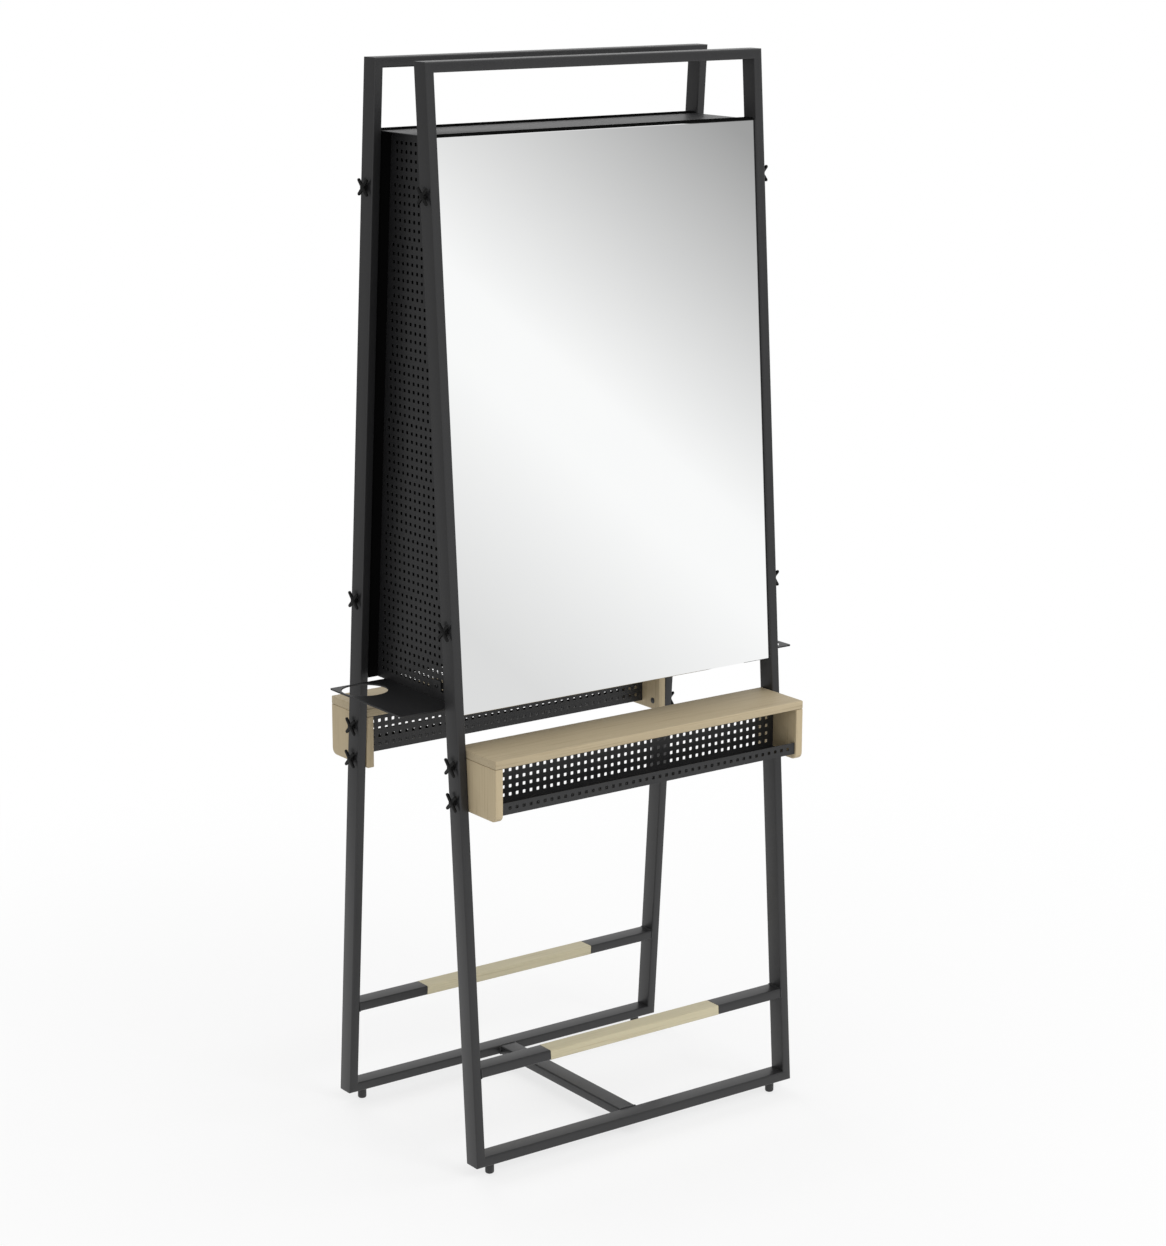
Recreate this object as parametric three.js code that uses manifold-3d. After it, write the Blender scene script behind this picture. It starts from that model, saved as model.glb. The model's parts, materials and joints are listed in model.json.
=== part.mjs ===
// Double sided salon station: two leaning tube frames with a mirror, shelf and footrest on each side.
// Millimetres, +Z up, origin on the floor at the centre. The front side faces -Y, the back side +Y.
import * as THREE from 'three';
import { mergeVertices } from 'three/addons/utils/BufferGeometryUtils.js';
import Module from 'manifold-3d';

const wasm = await Module();
wasm.setup();

// Frames of rectangular tube
const FRAME_WIDTH = 800;
const FRAME_HEIGHT = 2139;
const SPREAD_TOP = 212;
const SPREAD_BOTTOM = 514;
const TUBE_DEPTH = 40;
const TUBE_FACE = 20;
const TUBE_WALL = 2;
const FIT_GAP = 0.3;

// Levelling feet
const FOOT_HEIGHT = 24;
const FOOT_DIAMETER = 18;
const FOOT_CROWN = 4;
const FOOT_CROWN_EASE = 1.2;
const FOOT_STUD_DIAMETER = 8;
const FOOT_STUD_LENGTH = 14;
const FOOT_INSET = 42;

// Footrest with a wooden middle
const FOOTREST_HEIGHT = 206;
const FOOTREST_WOOD_LENGTH = 426;
const TENON_LENGTH = 45;

// Mirrors, their backing boards and the steel box between them
const MIRROR_BOTTOM = 931;
const MIRROR_TOP_GAP = 119;
const MIRROR_RECESS = 6;
const GLASS_THICKNESS = 5;
const BACKING_THICKNESS = 20;
const BACKING_RISE = 4;
const SIDE_PANEL_INSET = 27;
const SHEET = 1.5;
const CAP_DROP = 3;

// Shelves
const SHELF_TOP = 865;
const SHELF_DEPTH = 134;
const SHELF_PROJECTION = 99;
const BOARD_THICKNESS = 17;
const CHEEK_HEIGHT = 123;
const CHEEK_CORNER = 14;
const TRAY_WALL_SETBACK = 75;
const TRAY_LIP_SETBACK = 4;
const TRAY_LIP_HEIGHT = 24;
const TRAY_RISE = 12;
const HOLE_SIZE = 7;
const HOLE_PITCH_X = 32.8;
const HOLE_PITCH_Z = 16.4;
const HOLE_MARGIN = 12;

// Hairdryer holders, on the box's side panels between the legs
const HOLDER_RISE = 2;
const HOLDER_WIDTH = 131;
const HOLDER_LEG_GAP = 23;
const HOLDER_RING = 92;
const HOLDER_RIM = 4;
const HOLDER_CORNER = 3;
const HOLDER_SHEET = 3;
const FLANGE_HEIGHT = 17;
const FLANGE_LENGTH = 86;
const TAB_HEIGHT = 38;
const TAB_LENGTH = 30;

// Hand knobs that clamp the mirrors and shelves to the legs
const KNOB_BELOW_SHELF_TOP = 35;
const KNOB_PAIR_SPACING = 69;
const KNOB_ABOVE_MIRROR_BOTTOM = 164;
const KNOB_BELOW_MIRROR_TOP = 107;
const KNOB_SPAN = 40;
const KNOB_ARM_WIDTH = 9;
const KNOB_THICKNESS = 7;
const KNOB_BOSS_DIAMETER = 16;
const KNOB_BOSS_HEIGHT = 3;
const KNOB_CROWN = 1;
const STUD_DIAMETER = 8;
const STUD_CLEARANCE = 0.7;
const STUD_BITE = 14;

// Worked out from the sizes above
const HALF_WIDTH = FRAME_WIDTH / 2;
const INNER_HALF = HALF_WIDTH - TUBE_FACE;
const PANEL_HALF = INNER_HALF - SIDE_PANEL_INSET;
const FRAME_TOP = FOOT_HEIGHT + FRAME_HEIGHT;
const LEAN = (SPREAD_BOTTOM - SPREAD_TOP) / 2 / FRAME_HEIGHT;
const MIRROR_TOP = FRAME_TOP - TUBE_FACE - MIRROR_TOP_GAP;
const KNOB_HEIGHTS = {
  shelf_lower: SHELF_TOP - KNOB_BELOW_SHELF_TOP - KNOB_PAIR_SPACING,
  shelf_upper: SHELF_TOP - KNOB_BELOW_SHELF_TOP,
  mirror_lower: MIRROR_BOTTOM + KNOB_ABOVE_MIRROR_BOTTOM,
  mirror_upper: MIRROR_TOP - KNOB_BELOW_MIRROR_TOP,
};
const BACKING_FRONT = MIRROR_RECESS + GLASS_THICKNESS + FIT_GAP;
const BACKING_BACK = BACKING_FRONT + BACKING_THICKNESS;
const STUD_HOLE = STUD_DIAMETER / 2 + STUD_CLEARANCE;
const ROUND_SIDES = 12;
const RING_SIDES = 36;
const THROUGH = 10;

const PAINT = { color: 0x2b2b2c, roughness: 0.35, metalness: 0.3 };
const SHEET_PAINT = { color: 0x232324, roughness: 0.45, metalness: 0.3 };
const OAK = { color: 0xb9a983, roughness: 0.6, metalness: 0 };
const MIRROR = { color: 0xdfe3e4, roughness: 0.03, metalness: 1 };
const BOARD = { color: 0x161616, roughness: 0.7, metalness: 0 };
const KNOB = { color: 0x111112, roughness: 0.5, metalness: 0 };
const FOOT = { color: 0x1a1a1a, roughness: 0.7, metalness: 0 };

function toSolid(geometry) {
  const bare = geometry.index ? geometry.toNonIndexed() : geometry.clone();
  bare.deleteAttribute('normal');
  bare.deleteAttribute('uv');
  const merged = mergeVertices(bare, 1e-4);
  const vertProperties = new Float32Array(merged.attributes.position.array);
  const triVerts = new Uint32Array(merged.index.array);
  return new wasm.Manifold(new wasm.Mesh({ numProp: 3, vertProperties, triVerts }));
}

function toGeometry(solid) {
  const mesh = solid.getMesh();
  const geometry = new THREE.BufferGeometry();
  geometry.setAttribute('position', new THREE.BufferAttribute(mesh.vertProperties, 3));
  geometry.setIndex(new THREE.BufferAttribute(mesh.triVerts, 1));
  return geometry;
}

function cut(geometry, tools) {
  const solids = tools.map(toSolid);
  return toGeometry(solids.reduce((body, tool) => body.subtract(tool), toSolid(geometry)));
}

function join(pieces) {
  const solids = pieces.map(toSolid);
  return toGeometry(solids.reduce((body, piece) => body.add(piece)));
}

function named(name, geometry, finish) {
  const mesh = new THREE.Mesh(geometry, new THREE.MeshStandardMaterial(finish));
  mesh.name = name;
  return mesh;
}

function outline(points) {
  return new THREE.Shape(points.map(([u, v]) => new THREE.Vector2(u, v)));
}

// A box between two corners
function block(low, high) {
  const size = high.map((value, i) => value - low[i]);
  const centre = high.map((value, i) => (value + low[i]) / 2);
  return new THREE.BoxGeometry(...size).translate(...centre);
}

// An (x, z) outline carried from depth d0 to depth d1 along +Y
function plateAcross(shape, d0, d1) {
  const geometry = new THREE.ExtrudeGeometry(shape, { depth: d1 - d0, bevelEnabled: false });
  return geometry.rotateX(Math.PI / 2).translate(0, d1, 0);
}

// A (y, z) outline carried along +X from x0 to x1
function barAlong(shape, x0, x1, curveSegments = 4) {
  const geometry = new THREE.ExtrudeGeometry(shape, { depth: x1 - x0, bevelEnabled: false, curveSegments });
  const axes = new THREE.Matrix4().makeBasis(
    new THREE.Vector3(0, 1, 0),
    new THREE.Vector3(0, 0, 1),
    new THREE.Vector3(1, 0, 0),
  );
  return geometry.applyMatrix4(axes).translate(x0, 0, 0);
}

function rodAlongX(radius, x0, x1, y, z, sides = ROUND_SIDES) {
  const rod = new THREE.CylinderGeometry(radius, radius, x1 - x0, sides);
  return rod.rotateZ(Math.PI / 2).translate((x0 + x1) / 2, y, z);
}

// Leans a piece drawn upright, with depth 0 at the frame's outer face, into the plane of its frame
function lean(geometry) {
  const shear = new THREE.Matrix4().makeShear(0, 0, 0, 0, 0, LEAN);
  geometry.applyMatrix4(shear);
  return geometry.translate(0, -SPREAD_BOTTOM / 2 - LEAN * FOOT_HEIGHT, 0);
}

// Y of a point that lies at a depth behind the frame's outer face, at height z
function leanedY(depth, z) {
  return depth - SPREAD_BOTTOM / 2 + LEAN * (z - FOOT_HEIGHT);
}

// A mitred length of tube: long edge on v = 0 from u = 0, short edge on v = TUBE_FACE
function mitredTube(length) {
  const gap = FIT_GAP / 2 * Math.SQRT2;
  const trapezoid = (low, high, grow) => outline([
    [low + gap - grow, low],
    [length - low - gap + grow, low],
    [length - high - gap + grow, high],
    [high + gap - grow, high],
  ]);
  const skin = plateAcross(trapezoid(0, TUBE_FACE, 0), 0, TUBE_DEPTH);
  const bore = trapezoid(TUBE_WALL, TUBE_FACE - TUBE_WALL, THROUGH);
  return cut(skin, [plateAcross(bore, TUBE_WALL, TUBE_DEPTH - TUBE_WALL)]);
}

// A straight length of open tube between x0 and x1, with its underside at z
function straightTube(x0, x1, z) {
  const skin = block([x0, 0, z], [x1, TUBE_DEPTH, z + TUBE_FACE]);
  const bore = block(
    [x0 - THROUGH, TUBE_WALL, z + TUBE_WALL],
    [x1 + THROUGH, TUBE_DEPTH - TUBE_WALL, z + TUBE_FACE - TUBE_WALL],
  );
  return cut(skin, [bore]);
}

function legGeometry() {
  const tube = mitredTube(FRAME_HEIGHT).rotateY(-Math.PI / 2).translate(HALF_WIDTH, 0, FOOT_HEIGHT);
  const holes = Object.values(KNOB_HEIGHTS).map((z) => (
    rodAlongX(STUD_HOLE, INNER_HALF - THROUGH, HALF_WIDTH + THROUGH, TUBE_DEPTH / 2, z)
  ));
  return lean(cut(tube, holes));
}

function mirroredInX(geometry) {
  const flipped = geometry.clone().scale(-1, 1, 1).toNonIndexed();
  const p = flipped.attributes.position;
  for (let i = 0; i < p.count; i += 3) {
    const corner = [p.getX(i + 1), p.getY(i + 1), p.getZ(i + 1)];
    p.setXYZ(i + 1, p.getX(i + 2), p.getY(i + 2), p.getZ(i + 2));
    p.setXYZ(i + 2, ...corner);
  }
  return flipped;
}

function frameOf(side) {
  const group = new THREE.Group();
  const leg = legGeometry();
  group.add(named(`${side}_leg_right`, leg, PAINT));
  group.add(named(`${side}_leg_left`, mirroredInX(leg), PAINT));

  const bottom = mitredTube(FRAME_WIDTH).translate(-HALF_WIDTH, 0, FOOT_HEIGHT);
  const studHoles = [-1, 1].map((s) => {
    const rod = new THREE.CylinderGeometry(1, 1, FOOT_HEIGHT, ROUND_SIDES).rotateX(Math.PI / 2);
    rod.scale(FOOT_STUD_DIAMETER / 2 + STUD_CLEARANCE, FOOT_STUD_DIAMETER / 2 + STUD_CLEARANCE, 1);
    return rod.translate(s * (HALF_WIDTH - FOOT_INSET), TUBE_DEPTH / 2, FOOT_HEIGHT - TUBE_WALL);
  });
  group.add(named(`${side}_bottom_rail`, lean(cut(bottom, studHoles)), PAINT));

  const top = mitredTube(FRAME_WIDTH).rotateY(Math.PI).translate(HALF_WIDTH, 0, FRAME_TOP);
  group.add(named(`${side}_top_rail`, lean(top), PAINT));
  return group;
}

// The footrest: a wooden bar whose tenons slide into the two tube stubs welded to the legs
function footrestOf(side) {
  const group = new THREE.Group();
  const woodEnd = FOOTREST_WOOD_LENGTH / 2;
  for (const [name, s] of [['left', -1], ['right', 1]]) {
    const ends = [s * (woodEnd + FIT_GAP), s * (INNER_HALF - FIT_GAP)].sort((a, b) => a - b);
    const stub = straightTube(...ends, FOOTREST_HEIGHT);
    group.add(named(`${side}_footrest_stub_${name}`, lean(stub), PAINT));
  }
  const inset = TUBE_WALL + FIT_GAP;
  const bar = block([-woodEnd, 0, FOOTREST_HEIGHT], [woodEnd, TUBE_DEPTH, FOOTREST_HEIGHT + TUBE_FACE]);
  const tenon = block(
    [-woodEnd - TENON_LENGTH, inset, FOOTREST_HEIGHT + inset],
    [woodEnd + TENON_LENGTH, TUBE_DEPTH - inset, FOOTREST_HEIGHT + TUBE_FACE - inset],
  );
  group.add(named(`${side}_footrest_bar`, lean(join([bar, tenon])), OAK));
  return group;
}

function mirrorOf(side) {
  const group = new THREE.Group();
  const half = INNER_HALF - FIT_GAP;
  const glassBack = MIRROR_RECESS + GLASS_THICKNESS;
  const glass = block([-half, MIRROR_RECESS, MIRROR_BOTTOM], [half, glassBack, MIRROR_TOP]);
  group.add(named(`${side}_mirror`, lean(glass), MIRROR));

  const board = block([-half, BACKING_FRONT, MIRROR_BOTTOM], [half, BACKING_BACK, MIRROR_TOP + BACKING_RISE]);
  const sockets = [];
  for (const z of [KNOB_HEIGHTS.mirror_lower, KNOB_HEIGHTS.mirror_upper]) {
    for (const s of [-1, 1]) {
      const ends = [s * (INNER_HALF + THROUGH), s * (INNER_HALF - STUD_BITE - FIT_GAP)].sort((a, b) => a - b);
      sockets.push(rodAlongX(STUD_HOLE, ...ends, TUBE_DEPTH / 2, z));
    }
  }
  group.add(named(`${side}_mirror_backing`, lean(cut(board, sockets)), BOARD));
  return group;
}

// One shelf: oak board and cheeks, with a folded perforated tray hung between the cheeks
function shelfOf(side) {
  const group = new THREE.Group();
  const half = INNER_HALF - FIT_GAP;
  const front = leanedY(0, SHELF_TOP) - SHELF_PROJECTION;
  const back = front + SHELF_DEPTH;
  const underBoard = SHELF_TOP - BOARD_THICKNESS;
  const cheekBottom = SHELF_TOP - CHEEK_HEIGHT;
  const inside = half - BOARD_THICKNESS;

  const board = block([-half, front, underBoard], [half, back, SHELF_TOP]);
  group.add(named(`${side}_shelf_top`, board, OAK));

  const side2d = new THREE.Shape();
  side2d.moveTo(back, underBoard - FIT_GAP);
  side2d.lineTo(front, underBoard - FIT_GAP);
  side2d.lineTo(front, cheekBottom + CHEEK_CORNER);
  const r = CHEEK_CORNER;
  side2d.absarc(front + r, cheekBottom + r, r, Math.PI, Math.PI * 1.5, false);
  side2d.lineTo(back, cheekBottom);
  const cheek = barAlong(side2d, inside, half);
  const studs = [KNOB_HEIGHTS.shelf_lower, KNOB_HEIGHTS.shelf_upper].map((z) => (
    rodAlongX(STUD_HOLE, inside - THROUGH, half + THROUGH, leanedY(TUBE_DEPTH / 2, z), z)
  ));
  const rightCheek = cut(cheek, studs);
  group.add(named(`${side}_shelf_cheek_right`, rightCheek, OAK));
  group.add(named(`${side}_shelf_cheek_left`, mirroredInX(rightCheek), OAK));

  group.add(named(`${side}_shelf_tray`, trayGeometry(front, cheekBottom, underBoard, inside), SHEET_PAINT));
  return group;
}

// The tray is one folded sheet: tall perforated back wall, floor and low front lip
function trayGeometry(front, cheekBottom, underBoard, inside) {
  const wall = front + TRAY_WALL_SETBACK;
  const lip = front + TRAY_LIP_SETBACK;
  const floor = cheekBottom + TRAY_RISE;
  const top = underBoard - FIT_GAP;
  const half = inside - FIT_GAP;
  const fold = outline([
    [lip, floor],
    [wall, floor],
    [wall, top],
    [wall - SHEET, top],
    [wall - SHEET, floor + SHEET],
    [lip + SHEET, floor + SHEET],
    [lip + SHEET, floor + TRAY_LIP_HEIGHT],
    [lip, floor + TRAY_LIP_HEIGHT],
  ]);
  const columns = Math.floor((half - HOLE_MARGIN) / HOLE_PITCH_X);
  const rows = Math.floor((top - floor - 2 * HOLE_MARGIN) / HOLE_PITCH_Z / 2) + 1;
  const holes = [];
  for (let row = 0; row < rows; row += 1) {
    const z = top - HOLE_MARGIN - row * HOLE_PITCH_Z * 2;
    for (let column = -columns; column <= columns; column += 1) {
      const x = column * HOLE_PITCH_X;
      const r = HOLE_SIZE / 2;
      holes.push(block([x - r, wall - SHEET * 2, z - r], [x + r, wall + SHEET, z + r]));
    }
  }
  return cut(barAlong(fold, -half, half), holes);
}

// A flat plate with a ring for a dryer nozzle, and a flange and a tab folded up against the side panel
function holderOf(side) {
  const inner = -PANEL_HALF - FIT_GAP;
  const outer = inner - HOLDER_WIDTH;
  const top = MIRROR_BOTTOM + HOLDER_RISE;
  const back = -leanedY(TUBE_DEPTH, top) - HOLDER_LEG_GAP;
  const front = -back;
  const r = HOLDER_CORNER;
  const plate = new THREE.Shape();
  plate.moveTo(inner, front);
  plate.lineTo(inner, back);
  plate.lineTo(outer + r, back);
  plate.absarc(outer + r, back - r, r, Math.PI / 2, Math.PI, false);
  plate.lineTo(outer, front + r);
  plate.absarc(outer + r, front + r, r, Math.PI, Math.PI * 1.5, false);
  const ring = new THREE.Path();
  const reach = HOLDER_RING / 2 + HOLDER_RIM;
  ring.absarc(outer + reach, back - reach, HOLDER_RING / 2, 0, Math.PI * 2, true);
  plate.holes.push(ring);
  const settings = { depth: HOLDER_SHEET, bevelEnabled: false, curveSegments: RING_SIDES / 2 };
  const flat = new THREE.ExtrudeGeometry(plate, settings).translate(0, 0, top - HOLDER_SHEET);
  const flangeEnd = front + FLANGE_LENGTH;
  const upright = (start, rise) => block(
    [inner - HOLDER_SHEET, start, top - HOLDER_SHEET],
    [inner, flangeEnd, top + rise],
  );
  const flange = upright(front, FLANGE_HEIGHT);
  const tab = upright(flangeEnd - TAB_LENGTH, TAB_HEIGHT);
  return named(`${side}_dryer_holder`, join([flat, flange, tab]), SHEET_PAINT);
}

// A cross shaped hand knob: four arms, a boss that bears on the tube, and a threaded stud
function knobGeometry(studLength) {
  const long = KNOB_SPAN / 2;
  const wide = KNOB_ARM_WIDTH / 2;
  const arm = [[wide, -wide], [long - wide / 2, -wide], [long, 0], [long - wide / 2, wide]];
  const cross = [0, 1, 2, 3].flatMap((quarter) => {
    const turn = (quarter + 0.5) * Math.PI / 2;
    return arm.map(([u, v]) => [
      u * Math.cos(turn) - v * Math.sin(turn),
      u * Math.sin(turn) + v * Math.cos(turn),
    ]);
  });
  const head = new THREE.ExtrudeGeometry(outline(cross), { depth: KNOB_THICKNESS, bevelEnabled: false });
  head.translate(0, 0, KNOB_BOSS_HEIGHT);
  const round = (diameter, z0, z1) => {
    const rod = new THREE.CylinderGeometry(diameter / 2, diameter / 2, z1 - z0, ROUND_SIDES);
    return rod.rotateX(Math.PI / 2).translate(0, 0, (z0 + z1) / 2);
  };
  const hub = round(KNOB_BOSS_DIAMETER, FIT_GAP, KNOB_BOSS_HEIGHT + KNOB_THICKNESS + KNOB_CROWN);
  return join([head, hub, round(STUD_DIAMETER, -studLength, KNOB_BOSS_HEIGHT)]);
}

function knobsOf(side) {
  const group = new THREE.Group();
  const stud = TUBE_FACE + FIT_GAP + STUD_BITE;
  for (const [place, z] of Object.entries(KNOB_HEIGHTS)) {
    for (const [name, s] of [['left', -1], ['right', 1]]) {
      const knob = named(`${side}_knob_${place}_${name}`, knobGeometry(stud), KNOB);
      knob.rotation.y = s * Math.PI / 2;
      knob.position.set(s * HALF_WIDTH, leanedY(TUBE_DEPTH / 2, z), z);
      group.add(knob);
    }
  }
  return group;
}

function feetOf(side) {
  const group = new THREE.Group();
  const r = FOOT_DIAMETER / 2;
  const stud = FOOT_STUD_DIAMETER / 2;
  const profile = [
    [0, 0],
    [r - FOOT_CROWN, 0],
    [r - FOOT_CROWN_EASE, FOOT_CROWN_EASE],
    [r, FOOT_CROWN],
    [r, FOOT_HEIGHT - FIT_GAP],
    [stud, FOOT_HEIGHT - FIT_GAP],
    [stud, FOOT_HEIGHT + FOOT_STUD_LENGTH],
    [0, FOOT_HEIGHT + FOOT_STUD_LENGTH],
  ].map(([u, v]) => new THREE.Vector2(u, v));
  for (const [name, s] of [['left', -1], ['right', 1]]) {
    const foot = named(`${side}_foot_${name}`, new THREE.LatheGeometry(profile, ROUND_SIDES), FOOT);
    foot.rotation.x = Math.PI / 2;
    foot.position.set(s * (HALF_WIDTH - FOOT_INSET), leanedY(TUBE_DEPTH / 2, FOOT_HEIGHT), 0);
    group.add(foot);
  }
  return group;
}

// The steel box that joins the two mirror backings: two side panels, a cap and a bottom plate
function boxBetweenMirrors() {
  const group = new THREE.Group();
  const reach = (z) => -leanedY(BACKING_BACK + FIT_GAP, z);
  const low = MIRROR_BOTTOM + SHEET + FIT_GAP;
  const capUnder = MIRROR_TOP + BACKING_RISE - CAP_DROP - SHEET;
  const high = capUnder - FIT_GAP;
  const x = PANEL_HALF;
  const panel = outline([[-reach(low), low], [reach(low), low], [reach(high), high], [-reach(high), high]]);
  group.add(named('side_panel_left', barAlong(panel, -x, -x + SHEET), SHEET_PAINT));
  group.add(named('side_panel_right', barAlong(panel, x - SHEET, x), SHEET_PAINT));

  const half = INNER_HALF - FIT_GAP;
  const capTop = capUnder + SHEET;
  const cap = block([-half, -reach(capTop), capUnder], [half, reach(capTop), capTop]);
  group.add(named('box_cap', cap, SHEET_PAINT));

  const plate = block([-x, -reach(low), MIRROR_BOTTOM], [x, reach(low), MIRROR_BOTTOM + SHEET]);
  group.add(named('box_bottom_plate', plate, SHEET_PAINT));
  return group;
}

// One flat tube ties the middles of the two bottom rails together
function stretcher() {
  const half = TUBE_DEPTH / 2;
  const reachTop = -leanedY(TUBE_DEPTH + FIT_GAP, FOOT_HEIGHT + TUBE_FACE);
  const reachBottom = -leanedY(TUBE_DEPTH + FIT_GAP, FOOT_HEIGHT);
  const top = FOOT_HEIGHT + TUBE_FACE;
  const skin = barAlong(outline([
    [-reachBottom, FOOT_HEIGHT],
    [reachBottom, FOOT_HEIGHT],
    [reachTop, top],
    [-reachTop, top],
  ]), -half, half);
  const bore = block(
    [-half + TUBE_WALL, -reachBottom - THROUGH, FOOT_HEIGHT + TUBE_WALL],
    [half - TUBE_WALL, reachBottom + THROUGH, top - TUBE_WALL],
  );
  return named('base_stretcher', cut(skin, [bore]), PAINT);
}

function sideOf(side) {
  const group = new THREE.Group();
  group.add(frameOf(side), footrestOf(side), mirrorOf(side), shelfOf(side));
  group.add(holderOf(side), knobsOf(side), feetOf(side));
  return group;
}

const station = new THREE.Group();
const front = sideOf('front');
const back = sideOf('back');
back.rotation.z = Math.PI;
station.add(front, back, boxBetweenMirrors(), stretcher());

export default station;
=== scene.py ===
import json
import math

import bmesh
import bpy
import numpy as np
from mathutils import Matrix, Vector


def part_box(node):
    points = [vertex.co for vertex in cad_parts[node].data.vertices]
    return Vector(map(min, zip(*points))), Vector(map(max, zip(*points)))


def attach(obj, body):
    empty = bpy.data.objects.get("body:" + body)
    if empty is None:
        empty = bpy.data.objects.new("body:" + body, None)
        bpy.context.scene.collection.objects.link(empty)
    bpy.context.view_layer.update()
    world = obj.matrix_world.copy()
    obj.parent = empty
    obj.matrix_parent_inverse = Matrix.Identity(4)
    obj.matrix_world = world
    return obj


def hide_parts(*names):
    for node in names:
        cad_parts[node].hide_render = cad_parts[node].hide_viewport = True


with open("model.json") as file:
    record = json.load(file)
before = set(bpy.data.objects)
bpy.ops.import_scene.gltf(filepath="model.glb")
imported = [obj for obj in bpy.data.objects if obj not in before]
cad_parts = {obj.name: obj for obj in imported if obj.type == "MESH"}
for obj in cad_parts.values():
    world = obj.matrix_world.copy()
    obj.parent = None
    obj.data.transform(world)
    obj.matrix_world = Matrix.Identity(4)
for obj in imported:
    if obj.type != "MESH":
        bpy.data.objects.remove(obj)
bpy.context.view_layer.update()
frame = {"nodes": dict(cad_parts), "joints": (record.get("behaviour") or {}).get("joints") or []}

# Frame tubes: two leaning ladders of 40 x 20 mm steel tube with rounded corners, mitred and welded
# at the four corners, with footrest stubs welded between the legs and one flat stretcher at the base.
# All of it is powder coated in a satin charcoal after welding.


class Wire:
    """A shader socket that takes part in Python sums: an operator adds one Math node to its tree."""

    def __init__(self, tree, socket=None):
        self.tree = tree
        self.socket = socket

    def node(self, kind, settings=None, sockets=None, output=0):
        """Adds a node: settings first, ramp stops among them, then its sockets' values or links."""
        made = self.tree.nodes.new(kind)
        for key, value in (settings or {}).items():
            if key == "stops":
                ramp = made.color_ramp.elements
                ramp.remove(ramp[1])
                ramp[0].position, ramp[0].color = value[0]
                for place, colour in value[1:]:
                    ramp.new(place).color = colour
            else:
                setattr(made, key, value)
        for key, value in (sockets or {}).items():
            self.feed(made.inputs[key], value)
        return Wire(self.tree, made.outputs[output])

    def feed(self, target, value):
        """Links a wire to a socket, or sets the socket's own value."""
        if isinstance(value, Wire):
            self.tree.links.new(value.socket, target)
        else:
            target.default_value = value

    def maths(self, operation, first, second):
        """A Math node of two values or wires."""
        return self.node("ShaderNodeMath", {"operation": operation}, {0: first, 1: second})

    def __add__(self, other):
        return self.maths("ADD", self, other)

    def __sub__(self, other):
        return self.maths("SUBTRACT", self, other)

    def __rsub__(self, other):
        return self.maths("SUBTRACT", other, self)

    def __mul__(self, other):
        return self.maths("MULTIPLY", self, other)

    __radd__ = __add__
    __rmul__ = __mul__

    def tint(self, low, high):
        """A colour between two others, by this value."""
        return self.node("ShaderNodeMix", {"data_type": "RGBA"}, {0: self, 6: low, 7: high}, 2)


def paint_colour(red, green, blue):
    """An 8-bit screen colour as the linear colour that the shader takes."""
    screen = np.array([red, green, blue]) / 255.0
    linear = np.where(screen <= 0.04045, screen / 12.92, ((screen + 0.055) / 1.055) ** 2.4)
    return (*linear.tolist(), 1.0)


def new_finish(name):
    """A material, its tree's first wire (Object coordinates) and its shader's sockets."""
    material = bpy.data.materials.new(name)
    material.use_nodes = True
    tree = material.node_tree
    shader = tree.nodes["Principled BSDF"].inputs
    place = Wire(tree).node("ShaderNodeTexCoord", output=3)
    return material, place, shader


def speckle(place, scale, detail=3.0, roughness=0.55):
    """Cloudy noise between 0 and 1, in waves per metre."""
    return place.node("ShaderNodeTexNoise", None,
                      {"Vector": place, "Scale": scale, "Detail": detail, "Roughness": roughness})


def bump(place, height, strength, distance):
    """A Bump node's normal from a height value."""
    return place.node("ShaderNodeBump", None,
                      {"Height": height, "Strength": strength, "Distance": distance})


def powder_coat(name, dark, light, gloss):
    """Satin powder coat: faint clouds in the colour, an orange-peel skin and a gloss that varies."""
    material, place, shader = new_finish(name)
    clouds = speckle(place, 9.0)
    peel = speckle(place, 900.0, 2.0)
    dust = speckle(place, 60.0, 5.0)
    place.feed(shader["Base Color"], (clouds * 0.7 + dust * 0.3).tint(dark, light))
    place.feed(shader["Roughness"], gloss - 0.06 + clouds * 0.08 + dust * 0.05)
    place.feed(shader["Normal"], bump(place, peel, 0.12, 0.0004))
    return material


charcoal = powder_coat("charcoal powder coat", paint_colour(33, 33, 34), paint_colour(41, 41, 42), 0.34)
merge_distance = 1e-6


def put(name, points, faces, material, body, nodes=(), outward=True, sharp=40.0):
    """Makes a piece of points and blocks of faces, merged at its seams and smooth up to an angle.

    Its faces are turned outward, unless it is a thin sheet whose faces already are.
    """
    mesh = bpy.data.meshes.new(name)
    mesh.from_pydata(points.tolist(), [], sum((block.tolist() for block in faces), []))
    work = bmesh.new()
    work.from_mesh(mesh)
    bmesh.ops.remove_doubles(work, verts=work.verts, dist=merge_distance)
    if outward:
        bmesh.ops.recalc_face_normals(work, faces=work.faces)
    work.to_mesh(mesh)
    work.free()
    mesh.polygons.foreach_set("use_smooth", np.ones(len(mesh.polygons), bool))
    mesh.set_sharp_from_angle(angle=math.radians(sharp))
    mesh.materials.append(material)
    piece = bpy.data.objects.new(name, mesh)
    bpy.context.scene.collection.objects.link(piece)
    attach(piece, body)
    if nodes:
        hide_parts(*nodes)


def hoops(rings):
    """Quads between neighbouring closed rings of points, with an end face on the first and the last."""
    count, around = rings.shape[:2]
    k = np.arange(around)
    after = (k + 1) % around
    start = (np.arange(count - 1) * around)[:, None]
    quads = np.stack([start + k, start + after, start + around + after, start + around + k], -1)
    ends = np.stack([k[::-1], (count - 1) * around + k])
    return rings.reshape(-1, 3), [quads.reshape(-1, 4), ends]


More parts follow.
